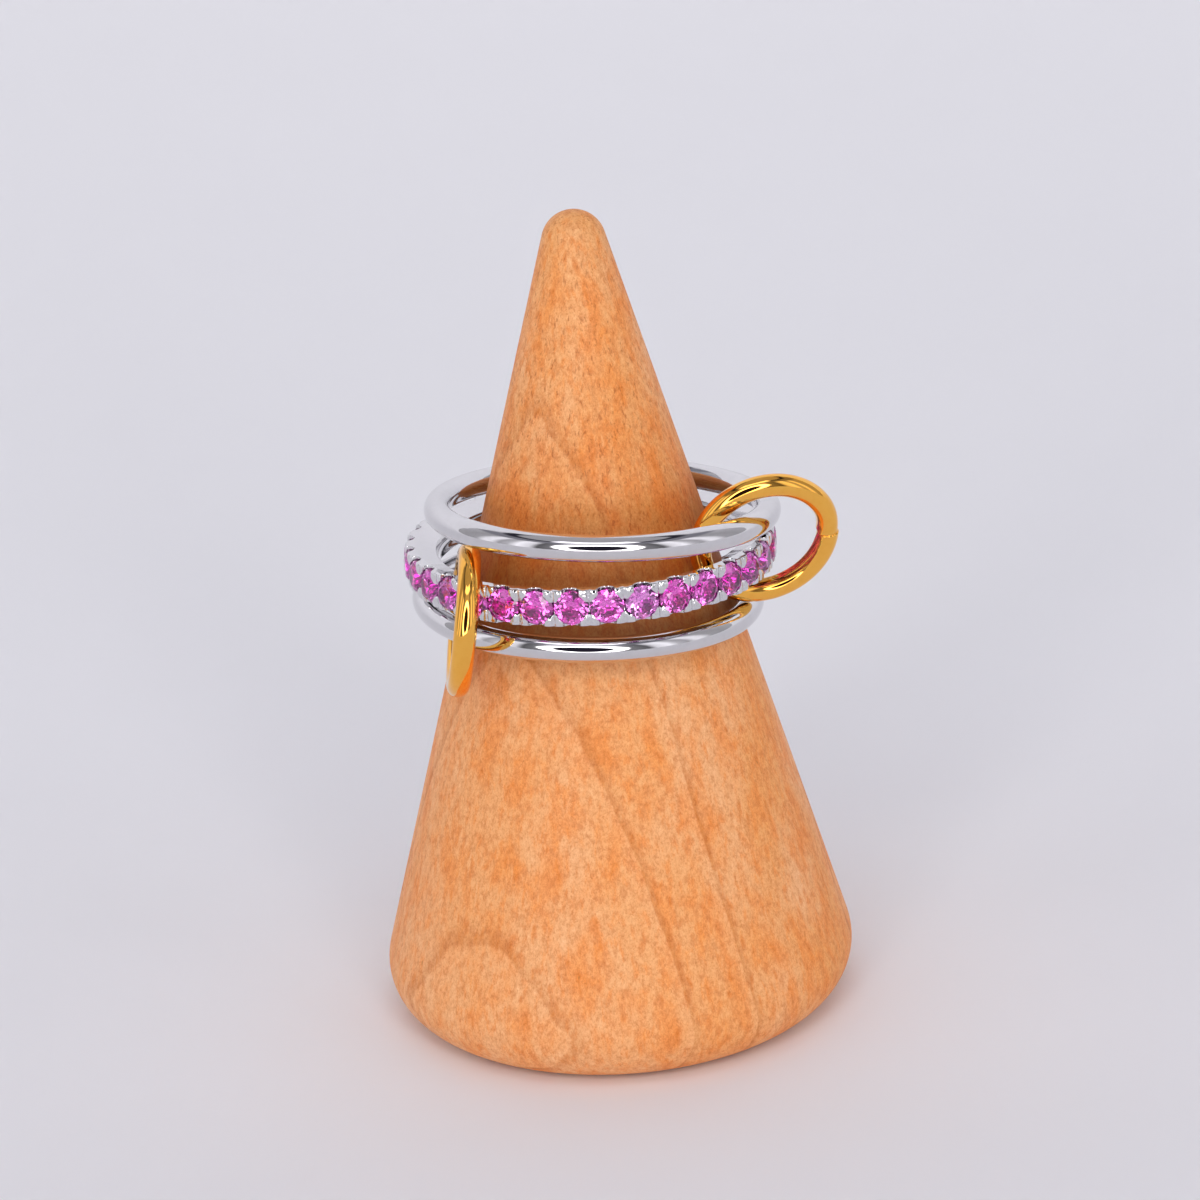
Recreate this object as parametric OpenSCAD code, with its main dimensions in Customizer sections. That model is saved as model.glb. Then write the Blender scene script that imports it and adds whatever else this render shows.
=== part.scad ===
// Three finger bands joined as a chain by two small closed links, standing round
// a plain wooden ring cone. Millimetres, Z up, the cone's axis on the Z axis,
// -Y towards the front.

/* [Ring cone] */
// Radius that the cone's straight side would reach at the floor
cone_r = 14.5; // [14.3:0.1:15]
// Angle between the cone's side and its axis, in degrees
cone_side_angle = 15.6; // [15.3:0.1:16]
// Radius of the rounded tip
cone_tip_r = 1.8; // [1:0.1:2.5]
// Radius of the eased edge at the foot
cone_edge_r = 3.0; // [1:0.25:3.5]

/* [Plain bands] */
// Inner diameter of all three bands
ring_inner_d = 16.96; // [16.9:0.02:17.2]
// Diameter of the round wire
wire_d = 1.48; // [1.3:0.02:1.5]

/* [Stone-set band] */
// Width across the two rows of prongs
set_w = 2.12; // [2.04:0.01:2.2]
// Half width at the bore, where the slanting side walls begin
bore_half_w = 0.64; // [0.55:0.01:0.75]
// Radius where the side walls stop slanting and stand square to the axis
knee_r = 9.85; // [9.5:0.05:9.95]
// How far the rounded bore widens from its middle to that edge
bore_flare = 0.21; // [0.1:0.01:0.25]
// Radius of the prong tips
set_outer_r = 10.42; // [10.38:0.01:10.48]
// Half width of the channel that parts the two rows of prongs
channel_half_w = 0.36; // [0.3:0.02:0.42]
// Radius of the channel's floor
channel_floor_r = 10.0; // [9.95:0.01:10.02]
// Radius of the scallop under each stone in the side walls
scallop_r = 0.48; // [0.4:0.02:0.55]
// Radius of the round groove that splits each pillar into two prongs
split_r = 0.11; // [0.06:0.01:0.13]
// How far a prong laps over the edge of its stone
prong_lap = 0.08; // [0.05:0.01:0.14]

/* [Stones] */
// Diameter across the girdle
stone_d = 1.9; // [1.76:0.01:1.9]
// Distance of the girdle plane from the band's axis
stone_seat_r = 10.2; // [10.18:0.01:10.24]
// Height of the crown above the girdle plane
crown_h = 0.31; // [0.26:0.01:0.34]
// Depth of the pavilion below the girdle plane
pavilion_h = 0.79; // [0.7:0.01:0.82]
// Width of the table as a share of the diameter
table_share = 0.57; // [0.52:0.01:0.62]

/* [Links] */
// Outer diameter of a link
link_outer_d = 8.54; // [8.5:0.02:8.56]
// Diameter of the link's round wire
link_wire_d = 1.26; // [1.18:0.02:1.28]
// Thickness of the wire from its flat inner face to the outer side
link_t = 1.16; // [1.1:0.02:1.18]

/* [Top band placement] */
// Centre, left to right
top_x = 0.61; // [0.59:0.01:0.63]
// Centre, front to back
top_y = -1.84; // [-1.86:0.01:-1.82]
// Centre, height
top_z = 30.4; // [30.38:0.01:30.5]
// Tilt about the X axis, in degrees
top_tilt_x = -4.6; // [-4.8:0.1:-4.4]
// Tilt about the Y axis, in degrees
top_tilt_y = 3.6; // [3.4:0.1:3.8]

/* [Bottom band placement] */
// Centre, left to right
bottom_x = -0.51; // [-0.53:0.01:-0.49]
// Centre, front to back
bottom_y = -0.24; // [-0.26:0.01:-0.22]
// Centre, height
bottom_z = 24.63; // [24.61:0.01:24.65]
// Tilt about the X axis, in degrees
bottom_tilt_x = -1.3; // [-1.5:0.1:-1.1]
// Tilt about the Y axis, in degrees
bottom_tilt_y = 3.9; // [3.7:0.1:4.1]

/* [Stone-set band placement] */
// Centre, left to right
set_x = -0.22; // [-0.24:0.01:-0.2]
// Centre, front to back
set_y = -0.12; // [-0.14:0.01:-0.1]
// Centre, height
set_z = 27.41; // [27.39:0.01:27.43]
// Tilt about the X axis, in degrees
set_tilt_x = -1.1; // [-1.3:0.1:-0.9]
// Tilt about the Y axis, in degrees
set_tilt_y = 0.3; // [0.1:0.1:0.5]
// Turn of the first stone about the band's own axis, in degrees
set_turn = -151.5; // [-154.5:0.5:-148.5]

/* [Right link placement] */
// Centre, left to right
right_x = 9.42; // [9.4:0.01:9.44]
// Centre, front to back
right_y = -4.47; // [-4.49:0.01:-4.45]
// Centre, height
right_z = 28.86; // [28.84:0.01:28.88]
// Bearing of the link's axis from +X, in degrees
right_bearing = -77.8; // [-78.2:0.1:-77.4]
// Rise of the link's axis above the floor plane, in degrees
right_rise = -19.4; // [-19.8:0.1:-19]
// Place of the butt seam round the right link, in degrees
seam_angle = 90; // [60:1:120]

/* [Left link placement] */
// Centre, left to right
left_x = -7.42; // [-7.44:0.01:-7.4]
// Centre, front to back
left_y = -6.79; // [-6.81:0.01:-6.77]
// Centre, height
left_z = 26.08; // [26.06:0.01:26.1]
// Bearing of the link's axis from +X, in degrees
left_bearing = 1.2; // [0.8:0.1:1.6]
// Rise of the link's axis above the floor plane, in degrees
left_rise = -9.5; // [-9.9:0.1:-9.1]

/* [Hidden] */
$fn = 96;
stone_count = 33;
bore_steps = 3;
seat_gap = 0.03;
girdle_h = 0.05;
bevel = 0.08;
seam_w = 0.07;
seam_depth = 0.06;

cone_apex_h = cone_r / tan(cone_side_angle);
tip_centre_h = cone_apex_h - cone_tip_r / sin(cone_side_angle);
edge_centre_r = (cone_apex_h - cone_edge_r) * tan(cone_side_angle)
    - cone_edge_r / cos(cone_side_angle);

ring_inner_r = ring_inner_d / 2;
wire_path_r = ring_inner_r + wire_d / 2;
set_half_w = set_w / 2;

link_outer_r = link_outer_d / 2;
link_inner_r = link_outer_r - link_t;
link_wire_r = link_wire_d / 2;

stone_r = stone_d / 2;
seat_r = stone_r + seat_gap;
stone_step = 360 / stone_count;
mid_ring_r = 0.763 * stone_r;
lower_ring_r = 0.23 * stone_r;

silver = [0.85, 0.86, 0.88];
gold = [0.90, 0.66, 0.28];
wood = [0.84, 0.58, 0.36];
pink = [0.90, 0.25, 0.70];

function stone_name(i) = str("stone_", i < 9 ? "0" : "", i + 1);

// A band's own frame: its axis is Z before the two tilts
module placed(x, y, z, tilt_x, tilt_y) {
    translate([x, y, z]) rotate([tilt_x, tilt_y, 0]) children();
}

// A link's own frame: its axis is Z before it is turned to its bearing and rise
module linked(x, y, z, bearing, rise) {
    translate([x, y, z]) rotate([0, 90 - rise, bearing]) children();
}

module in_set_band() {
    placed(set_x, set_y, set_z, set_tilt_x, set_tilt_y) children();
}

// Half outline of the cone: straight side, round tip and eased foot, all tangent
module cone_outline() {
    side = cone_side_angle;
    intersection() {
        union() {
            polygon([
                [0, 0],
                [edge_centre_r, 0],
                [edge_centre_r + cone_edge_r * cos(side), cone_edge_r * (1 + sin(side))],
                [cone_tip_r * cos(side), tip_centre_h + cone_tip_r * sin(side)],
                [0, tip_centre_h]
            ]);
            translate([edge_centre_r, cone_edge_r]) circle(cone_edge_r);
            translate([0, tip_centre_h]) circle(cone_tip_r);
        }
        square([2 * cone_r, cone_apex_h]);
    }
}

module ring_cone() {
    color(wood) rotate_extrude() cone_outline();
}

module plain_band() {
    rotate_extrude() translate([wire_path_r, 0]) circle(wire_d / 2);
}

module band_top() {
    color(silver) placed(top_x, top_y, top_z, top_tilt_x, top_tilt_y) plain_band();
}

module band_bottom() {
    color(silver) placed(bottom_x, bottom_y, bottom_z, bottom_tilt_x, bottom_tilt_y)
        plain_band();
}

// The stone-set band before the stones' seats are cut: rounded bore, then slanting side
// walls that end in a straight-sided rim
module set_blank() {
    bore = [for (k = [bore_steps : -1 : -bore_steps])
        [ring_inner_r + bore_flare * pow(k / bore_steps, 2), bore_half_w * k / bore_steps]];
    rotate_extrude() polygon(concat(bore, [
        [knee_r, -set_half_w],
        [set_outer_r - bevel, -set_half_w],
        [set_outer_r, bevel - set_half_w],
        [set_outer_r, -channel_half_w],
        [channel_floor_r, -channel_half_w],
        [channel_floor_r, channel_half_w],
        [set_outer_r, channel_half_w],
        [set_outer_r, set_half_w - bevel],
        [set_outer_r - bevel, set_half_w],
        [knee_r, set_half_w]
    ]));
}

// The space of one stone: cone below, girdle groove, then the opening between prongs
module seat_tool() {
    rotate_extrude() polygon([
        [0, -pavilion_h - 2 * seat_gap],
        [0.08, -pavilion_h - 2 * seat_gap],
        [seat_r, -seat_gap],
        [seat_r, girdle_h],
        [stone_r - prong_lap, girdle_h + 0.09],
        [stone_r - prong_lap, 1],
        [0, 1]
    ]);
}

// Turns a piece from pointing up to pointing outwards at place i round the band
module at_stone(i, r) {
    rotate([0, 0, set_turn + i * stone_step]) translate([r, 0, 0]) rotate([0, 90, 0])
        children();
}

module set_metal() {
    difference() {
        set_blank();
        for (i = [0 : stone_count - 1]) {
            at_stone(i, stone_seat_r) seat_tool();
            rotate([0, 0, set_turn + i * stone_step]) translate([set_outer_r, 0, -set_w])
                cylinder(r = scallop_r, h = 2 * set_w);
            rotate([0, 0, set_turn + (i + 0.5) * stone_step])
                translate([set_outer_r, 0, -set_w]) cylinder(r = split_r, h = 2 * set_w);
        }
    }
}

module band_pave() {
    color(silver) in_set_band() set_metal();
}

// Round wire with its inner side pressed flat
module link_section(inset = 0) {
    intersection() {
        translate([link_outer_r - link_wire_r, 0]) circle(link_wire_r - inset);
        translate([link_inner_r + inset, -link_wire_d]) square(2 * link_wire_d);
    }
}

module plain_link() {
    rotate_extrude() link_section();
}

// The soldered joint shows as a fine groove round the wire
module seamed_link(angle) {
    difference() {
        plain_link();
        difference() {
            rotate([0, 0, angle]) translate([link_inner_r - 0.5, -seam_w / 2, -link_wire_d])
                cube([link_t + 1, seam_w, 2 * link_wire_d]);
            rotate_extrude() link_section(seam_depth);
        }
    }
}

module link_right() {
    color(gold) linked(right_x, right_y, right_z, right_bearing, right_rise)
        seamed_link(seam_angle);
}

module link_left() {
    color(gold) linked(left_x, left_y, left_z, left_bearing, left_rise) plain_link();
}

// Eight points round a ring, the first one turned by the given angle
function ring8(r, h, turn = 0) =
    [for (k = [0 : 7]) [r * cos(45 * k + turn), r * sin(45 * k + turn), h]];

// Height on the flat main facet of the crown, at a distance from the stone's axis
function crown_at(x) = girdle_h / 2
    + (crown_h - girdle_h / 2) * (stone_r - x) / (stone_r * (1 - table_share));

// Height on the flat main facet of the pavilion
function pavilion_at(x) = -girdle_h / 2
    - (pavilion_h - girdle_h / 2) * (1 - x / stone_r);

// Round brilliant: table, stars, kites, upper halves, girdle, lower halves, mains
module brilliant() {
    points = concat(
        ring8(table_share * stone_r, crown_h),
        ring8(mid_ring_r, crown_at(mid_ring_r * cos(22.5)), 22.5),
        ring8(stone_r, girdle_h / 2),
        ring8(stone_r, girdle_h / 2, 22.5),
        ring8(stone_r, -girdle_h / 2),
        ring8(stone_r, -girdle_h / 2, 22.5),
        ring8(lower_ring_r, pavilion_at(lower_ring_r * cos(22.5)), 22.5),
        [[0, 0, -pavilion_h]]
    );
    table = 0;
    mid = 8;
    top_a = 16;
    top_b = 24;
    low_a = 32;
    low_b = 40;
    lower = 48;
    culet = 56;
    function after(k) = (k + 1) % 8;
    function before(k) = (k + 7) % 8;
    polyhedron(points, concat(
        [[for (k = [7 : -1 : 0]) table + k]],
        [for (k = [0 : 7]) [table + k, table + after(k), mid + k]],
        [for (k = [0 : 7]) [table + k, mid + k, top_a + k, mid + before(k)]],
        [for (k = [0 : 7]) [mid + k, top_b + k, top_a + k]],
        [for (k = [0 : 7]) [mid + k, top_a + after(k), top_b + k]],
        [for (k = [0 : 7]) [top_a + k, top_b + k, low_b + k, low_a + k]],
        [for (k = [0 : 7]) [top_b + k, top_a + after(k), low_a + after(k), low_b + k]],
        [for (k = [0 : 7]) [low_a + k, low_b + k, lower + k]],
        [for (k = [0 : 7]) [low_b + k, low_a + after(k), lower + k]],
        [for (k = [0 : 7]) [culet, lower + before(k), low_a + k, lower + k]]
    ));
}

module stone(i) {
    color(pink) in_set_band() at_stone(i, stone_seat_r) brilliant();
}

ring_cone();
band_top();
band_pave();
band_bottom();
link_right();
link_left();
for (i = [0 : stone_count - 1])
    stone(i);
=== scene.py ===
from math import acos, atan, cos, degrees, pi, radians, sin, sqrt, tan

import bmesh
import bpy
from mathutils import Matrix, Vector


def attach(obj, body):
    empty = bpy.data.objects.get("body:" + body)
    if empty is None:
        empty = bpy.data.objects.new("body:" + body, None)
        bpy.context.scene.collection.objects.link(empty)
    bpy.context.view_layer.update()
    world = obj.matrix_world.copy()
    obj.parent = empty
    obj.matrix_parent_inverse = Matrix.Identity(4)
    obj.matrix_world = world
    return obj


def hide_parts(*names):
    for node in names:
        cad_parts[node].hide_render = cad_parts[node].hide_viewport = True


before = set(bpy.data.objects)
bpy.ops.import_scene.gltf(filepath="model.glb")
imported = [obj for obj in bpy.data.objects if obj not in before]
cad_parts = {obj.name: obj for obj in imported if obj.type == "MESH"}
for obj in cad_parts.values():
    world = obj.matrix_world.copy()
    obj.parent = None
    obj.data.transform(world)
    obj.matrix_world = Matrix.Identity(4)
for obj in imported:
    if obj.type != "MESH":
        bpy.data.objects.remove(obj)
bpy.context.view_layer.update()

# Ring cone.
# One block of pale close-grained wood, turned on a lathe, sanded and oiled.
# Its side is straight, its tip a small ball, and the edge of its foot is eased.
MM = 0.001
cone_r = 14.5
cone_side_angle = radians(15.6)
cone_tip_r = 1.8
cone_edge_r = 3.0

cone_apex_h = cone_r / tan(cone_side_angle)
tip_centre_h = cone_apex_h - cone_tip_r / sin(cone_side_angle)
edge_centre_r = (cone_apex_h - cone_edge_r) * tan(cone_side_angle) - cone_edge_r / cos(cone_side_angle)


def node(tree, kind, inputs=None, **settings):
    """One node, with its settings, and with a value or a link for each input named."""
    made = tree.nodes.new(kind)
    for name, value in settings.items():
        setattr(made, name, value)
    for socket, value in (inputs or {}).items():
        if isinstance(value, bpy.types.NodeSocket):
            tree.links.new(value, made.inputs[socket])
        else:
            made.inputs[socket].default_value = value
    return made


def maths(tree, operation, *values):
    """The result of one Math node."""
    return node(tree, "ShaderNodeMath", dict(enumerate(values)), operation=operation).outputs[0]


def ramp(tree, factor, stops, smooth=False):
    """A ColorRamp over factor; each stop is a place and a colour or a grey."""
    made = node(tree, "ShaderNodeValToRGB", {"Fac": factor})
    made.color_ramp.interpolation = "EASE" if smooth else "LINEAR"
    while len(made.color_ramp.elements) < len(stops):
        made.color_ramp.elements.new(0.5)
    for element, (place, colour) in zip(made.color_ramp.elements, stops):
        element.position = place
        element.color = (*colour, 1) if isinstance(colour, tuple) else (colour, colour, colour, 1)
    return made.outputs["Color"]


def mixed(tree, factor, a, b, blend="MIX"):
    """The colour result of one Mix node."""
    made = node(tree, "ShaderNodeMix", {0: factor, 6: a, 7: b}, data_type="RGBA", blend_type=blend)
    return made.outputs[2]


def new_material(name):
    """An empty material with a Principled surface, and that surface's node."""
    material = bpy.data.materials.new(name)
    material.use_nodes = True
    tree = material.node_tree
    tree.nodes.clear()
    surface = node(tree, "ShaderNodeBsdfPrincipled")
    node(tree, "ShaderNodeOutputMaterial", {"Surface": surface.outputs["BSDF"]})
    return material, tree, surface


def in_mm(tree):
    """The place on the object in millimetres."""
    place = node(tree, "ShaderNodeTexCoord").outputs["Object"]
    return node(tree, "ShaderNodeVectorMath", {0: place, "Scale": 1 / MM}, operation="SCALE").outputs[0]


def stretched(tree, place, scale):
    """The place with each axis scaled, for a pattern that runs along the grain."""
    return node(tree, "ShaderNodeVectorMath", {0: place, 1: scale}, operation="MULTIPLY").outputs[0]


def noise(tree, place, scale, detail=2.0, roughness=0.5, distortion=0.0):
    """The grey value of one Noise Texture node."""
    given = {"Vector": place, "Scale": scale, "Detail": detail}
    given.update({"Roughness": roughness, "Distortion": distortion})
    return node(tree, "ShaderNodeTexNoise", given).outputs["Fac"]


def mesh_object(name, points, faces, smooth=True):
    """A new object whose faces all point outwards."""
    mesh = bpy.data.meshes.new(name)
    mesh.from_pydata([tuple(p) for p in points], [], faces)
    shell = bmesh.new()
    shell.from_mesh(mesh)
    bmesh.ops.recalc_face_normals(shell, faces=shell.faces)
    for face in shell.faces:
        face.smooth = smooth
    shell.to_mesh(mesh)
    shell.free()
    made = bpy.data.objects.new(name, mesh)
    bpy.context.scene.collection.objects.link(made)
    return made


def arc(centre_r, centre_h, radius, start, end, steps):
    """Points (radius, height) along an arc, with its angles in degrees."""
    turns = [radians(start + (end - start) * k / steps) for k in range(steps + 1)]
    return [(centre_r + radius * cos(a), centre_h + radius * sin(a)) for a in turns]


def turned(name, outline, around):
    """A closed solid turned about the Z axis; the outline's first and last points lie on the axis."""
    rings = outline[1:-1]
    points = [(0, 0, outline[0][1]), (0, 0, outline[-1][1])]
    for r, h in rings:
        points += [(r * cos(2 * pi * k / around), r * sin(2 * pi * k / around), h) for k in range(around)]
    faces = []
    last = 2 + (len(rings) - 1) * around
    for k in range(around):
        j = (k + 1) % around
        faces.append((0, 2 + j, 2 + k))
        faces.append((1, last + k, last + j))
        for row in range(len(rings) - 1):
            a = 2 + row * around
            b = a + around
            faces.append((a + k, a + j, b + j, b + k))
    return mesh_object(name, points, faces)


def settle(piece, place=None):
    """Turns a piece built in millimetres about its own origin to its place in the frame, in metres."""
    piece.data.transform(Matrix.Scale(MM, 4) @ (place or Matrix.Identity(4)))
    piece.data.update()


def growth_rings(tree, place):
    """Masks of each ring's late wood and of the early wood after it, and the distance across the rings."""
    bearing = radians(232)
    ring_places = (12.3, 7.9, 4.4, -6.6, -10.2)
    late_w = 0.5
    early_w = 0.8
    edge_out, edge_in = 0.06, -0.03
    across = (cos(bearing), sin(bearing), 0)
    flat = node(tree, "ShaderNodeVectorMath", {0: place, 1: across}, operation="DOT_PRODUCT")
    wander = noise(tree, stretched(tree, place, (0.3, 0.3, 0.14)), 1.0, 1.0)
    wander = maths(tree, "SUBTRACT", wander, 0.5)
    across_rings = maths(tree, "MULTIPLY_ADD", wander, 0.8, flat.outputs["Value"])
    late, early = 0.0, 0.0
    for ring_place in ring_places:
        depth = maths(tree, "SUBTRACT", across_rings, ring_place)
        rising = {"Value": depth, 1: -late_w, 2: edge_in}
        before = node(tree, "ShaderNodeMapRange", rising, interpolation_type="SMOOTHSTEP").outputs[0]
        edge = node(tree, "ShaderNodeMapRange", {"Value": depth, 1: edge_out, 2: edge_in}).outputs[0]
        late = maths(tree, "MAXIMUM", late, maths(tree, "MULTIPLY", before, edge))
        after = node(tree, "ShaderNodeMapRange", {"Value": depth, 1: early_w, 2: 0.0}).outputs[0]
        after = maths(tree, "MULTIPLY", after, maths(tree, "SUBTRACT", 1.0, edge))
        early = maths(tree, "MAXIMUM", early, after)
    return late, early, across_rings


def wood_material():
    """Wood whose rings each end in a narrow brown band; flames, dashes and specks lie over all."""
    material, tree, surface = new_material("ring_cone_oiled_wood")
    place = in_mm(tree)
    late, early, across_rings = growth_rings(tree, place)
    clouds = noise(tree, stretched(tree, place, (0.2, 0.2, 0.09)), 1.0, 2.0, 0.5)
    blotches = noise(tree, stretched(tree, place, (0.7, 0.7, 0.24)), 1.0, 3.0, 0.55, 0.4)
    flames = noise(tree, stretched(tree, place, (2.6, 2.6, 0.7)), 1.0, 3.0, 0.55, 0.3)
    patches = noise(tree, stretched(tree, place, (2.6, 2.6, 1.7)), 1.0, 3.0, 0.65)
    dashes = noise(tree, stretched(tree, place, (6.5, 6.5, 1.6)), 1.0, 2.0, 0.6, 0.3)
    curls = noise(tree, stretched(tree, place, (8.5, 8.5, 5.0)), 1.0, 2.0, 0.7, 0.6)
    specks = noise(tree, stretched(tree, place, (14.0, 14.0, 9.0)), 1.0, 1.0, 0.5)
    height = node(tree, "ShaderNodeSeparateXYZ", {0: place}).outputs["Z"]
    full_h = 50.0
    share_up = maths(tree, "DIVIDE", height, full_h)

    pale, honey, orange = (0.94, 0.465, 0.20), (0.90, 0.375, 0.11), (0.90, 0.26, 0.03)
    brown, dark = (0.62, 0.19, 0.035), (0.33, 0.10, 0.02)
    colour = mixed(tree, ramp(tree, clouds, [(0.36, 0.0), (0.64, 1.0)], True), (*pale, 1), (*honey, 1))
    sapwood = ramp(tree, maths(tree, "MULTIPLY_ADD", across_rings, 0.03, 0.5), [(0.4, 0.0), (0.8, 0.55)])
    colour = mixed(tree, sapwood, colour, (*pale, 1))
    colour = mixed(tree, ramp(tree, blotches, [(0.40, 0.0), (0.68, 0.6)], True), colour, (*orange, 1))
    colour = mixed(tree, ramp(tree, flames, [(0.48, 0.0), (0.72, 0.55)], True), colour, (*orange, 1))
    broken = ramp(tree, blotches, [(0.38, 0.3), (0.58, 0.5)])
    colour = mixed(tree, maths(tree, "MULTIPLY", late, broken), colour, (*brown, 1))
    colour = mixed(tree, maths(tree, "MULTIPLY", early, 0.38), colour, (*pale, 1))
    darker, lighter = (0.80, 0.62, 0.46), (1.06, 1.20, 1.34)
    for pattern, low, high, share in (
        (patches, 0.36, 0.66, 0.5),
        (curls, 0.34, 0.68, 0.55),
        (specks, 0.30, 0.74, 0.35),
    ):
        shade = ramp(tree, pattern, [(low, darker), (0.5, 1.0), (high, lighter)])
        colour = mixed(tree, share, colour, mixed(tree, 1.0, colour, shade, "MULTIPLY"))
    coarse = ramp(tree, share_up, [(0.0, 0.0), (0.45, 0.15), (0.66, 0.85), (1.0, 0.6)])
    dark_dash, light_dash = (0.66, 0.46, 0.32), (1.1, 1.3, 1.55)
    dashed = ramp(tree, dashes, [(0.30, dark_dash), (0.42, 1.0), (0.60, 1.0), (0.72, light_dash)])
    colour = mixed(tree, coarse, colour, mixed(tree, 1.0, colour, dashed, "MULTIPLY"))
    pores = ramp(tree, flames, [(0.74, 0.0), (0.80, 0.6)])
    colour = mixed(tree, pores, colour, (*dark, 1))

    # Painted shade: the wood is darkened from the bottom band up to just above the top band, where shade
    # falls between and beside the bands. It is also a little darker at the foot and at the tip
    uneven = maths(tree, "MULTIPLY", maths(tree, "SUBTRACT", blotches, 0.5), 0.02)
    painted_band_shade = ramp(
        tree,
        maths(tree, "ADD", share_up, uneven),
        [
            (0.0, 0.98), (0.12, 1.0), (0.468, 1.0), (0.488, (0.47, 0.39, 0.28)), (0.55, (0.60, 0.43, 0.21)),
            (0.585, (0.64, 0.46, 0.22)), (0.625, (0.82, 0.66, 0.40)), (0.66, (0.98, 0.93, 0.84)),
            (0.72, 1.0), (0.86, 1.0), (0.93, (0.95, 0.95, 0.9)),
        ],
    )
    # The painted shade over the bands' height is multiplied into the wood's colour here
    colour = mixed(tree, 1.0, colour, painted_band_shade, "MULTIPLY")

    streaks = maths(tree, "MULTIPLY", dashes, coarse)
    relief = maths(tree, "ADD", maths(tree, "MULTIPLY", curls, 0.5), streaks)
    bump = node(tree, "ShaderNodeBump", {"Height": relief, "Strength": 0.4, "Distance": 0.04 * MM})
    rough = ramp(tree, patches, [(0.3, 0.62), (0.7, 0.5)])
    tree.links.new(colour, surface.inputs["Base Color"])
    tree.links.new(rough, surface.inputs["Roughness"])
    tree.links.new(bump.outputs["Normal"], surface.inputs["Normal"])
    surface.inputs["Specular IOR Level"].default_value = 0.35
    return material


def cone_outline():
    """Half of the cone's outline: flat underside, eased edge, straight side and ball tip."""
    side = degrees(cone_side_angle)
    foot = arc(edge_centre_r, cone_edge_r, cone_edge_r, -90, side, 20)
    tip = arc(0, tip_centre_h, cone_tip_r, side, 90, 24)
    (r0, h0), (r1, h1) = foot[-1], tip[0]
    rows = 40
    straight = [(r0 + (r1 - r0) * k / rows, h0 + (h1 - h0) * k / rows) for k in range(1, rows)]
    flat = [(edge_centre_r * k / 6, 0) for k in range(6)]
    return flat + foot + straight + tip[:-1] + [(0, tip_centre_h + cone_tip_r)]


cone = turned("ring_cone_turned", cone_outline(), 192)
settle(cone)
cone.data.materials.append(wood_material())
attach(cone, "root")
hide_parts("ring_cone")

# Top and bottom bands.
# Two plain finger bands of round white-metal wire, each bent to a circle, soldered
# shut and polished. The links join them to the stone-set band between them.
ring_inner_r = 16.96 / 2
wire_r = 1.48 / 2
top_place = (0.61, -1.84, 30.4, -4.6, 3.6)
bottom_place = (-0.51, -0.24, 24.63, -1.3, 3.9)


def band_frame(x, y, z, tilt_x, tilt_y):
    """A band's place: its axis is Z before it tilts about X and then about Y."""
    tilt = Matrix.Rotation(radians(tilt_y), 4, "Y") @ Matrix.Rotation(radians(tilt_x), 4, "X")
    return Matrix.Translation((x, y, z)) @ tilt


def new_group(name, kind, inputs, outputs):
    """A node group with named sockets, and its input and output nodes."""
    tree = bpy.data.node_groups.new(name, kind)
    for label, socket, value in inputs:
        made = tree.interface.new_socket(name=label, in_out="INPUT", socket_type=socket)
        if value is not None:
            made.default_value = value
    for label, socket in outputs:
        tree.interface.new_socket(name=label, in_out="OUTPUT", socket_type=socket)
    return tree, node(tree, "NodeGroupInput").outputs, node(tree, "NodeGroupOutput")


def polish_group():
    """What hand polishing leaves on metal: a surface not quite true, and hairline wear."""
    tree, given, out = new_group(
        "hand_polish",
        "ShaderNodeTree",
        [
            ("Place", "NodeSocketVector", None),
            ("Unevenness", "NodeSocketFloat", 0.5),
            ("Wear", "NodeSocketFloat", 0.3),
            ("Roughness", "NodeSocketFloat", 0.05),
        ],
        [("Normal", "NodeSocketVector"), ("Roughness", "NodeSocketFloat"), ("Wear", "NodeSocketFloat")],
    )
    swell = noise(tree, given["Place"], 0.55, 2.0, 0.5)
    hairs = noise(tree, stretched(tree, given["Place"], (3.0, 3.0, 26.0)), 1.0, 3.0, 0.7, 0.6)
    marks = noise(tree, given["Place"], 2.4, 3.0, 0.6)
    worn = node(tree, "ShaderNodeMapRange", {"Value": marks, 1: 0.45, 2: 0.75, 3: 0.0, 4: 1.0}).outputs[0]
    worn = maths(tree, "MULTIPLY", worn, given["Wear"])
    swell_h, hair_h = 0.05 * MM, 0.004 * MM
    uneven = {"Height": swell, "Strength": given["Unevenness"], "Distance": swell_h}
    broad = node(tree, "ShaderNodeBump", uneven).outputs["Normal"]
    hairline = {"Height": hairs, "Strength": worn, "Distance": hair_h, "Normal": broad}
    fine = node(tree, "ShaderNodeBump", hairline)
    tree.links.new(fine.outputs["Normal"], out.inputs["Normal"])
    rough = maths(tree, "ADD", given["Roughness"], maths(tree, "MULTIPLY", worn, 0.08))
    tree.links.new(rough, out.inputs["Roughness"])
    tree.links.new(worn, out.inputs["Wear"])
    return tree


hand_polish = polish_group()


def polished_metal(name, bright, dull, unevenness, wear, roughness, fineness=1.0):
    """A polished metal, duller where it is worn; fineness shrinks its unevenness."""
    material, tree, surface = new_material(name)
    place = stretched(tree, in_mm(tree), (fineness, fineness, fineness))
    given = {"Place": place, "Unevenness": unevenness, "Wear": wear, "Roughness": roughness}
    polish = node(tree, "ShaderNodeGroup", given, node_tree=hand_polish)
    colour = mixed(tree, polish.outputs["Wear"], (*bright, 1), (*dull, 1))
    tree.links.new(colour, surface.inputs["Base Color"])
    tree.links.new(polish.outputs["Roughness"], surface.inputs["Roughness"])
    tree.links.new(polish.outputs["Normal"], surface.inputs["Normal"])
    surface.inputs["Metallic"].default_value = 1.0
    return material


silver = polished_metal("polished_white_metal", (0.71, 0.70, 0.715), (0.61, 0.60, 0.61), 0.12, 0.3, 0.035)


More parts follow.
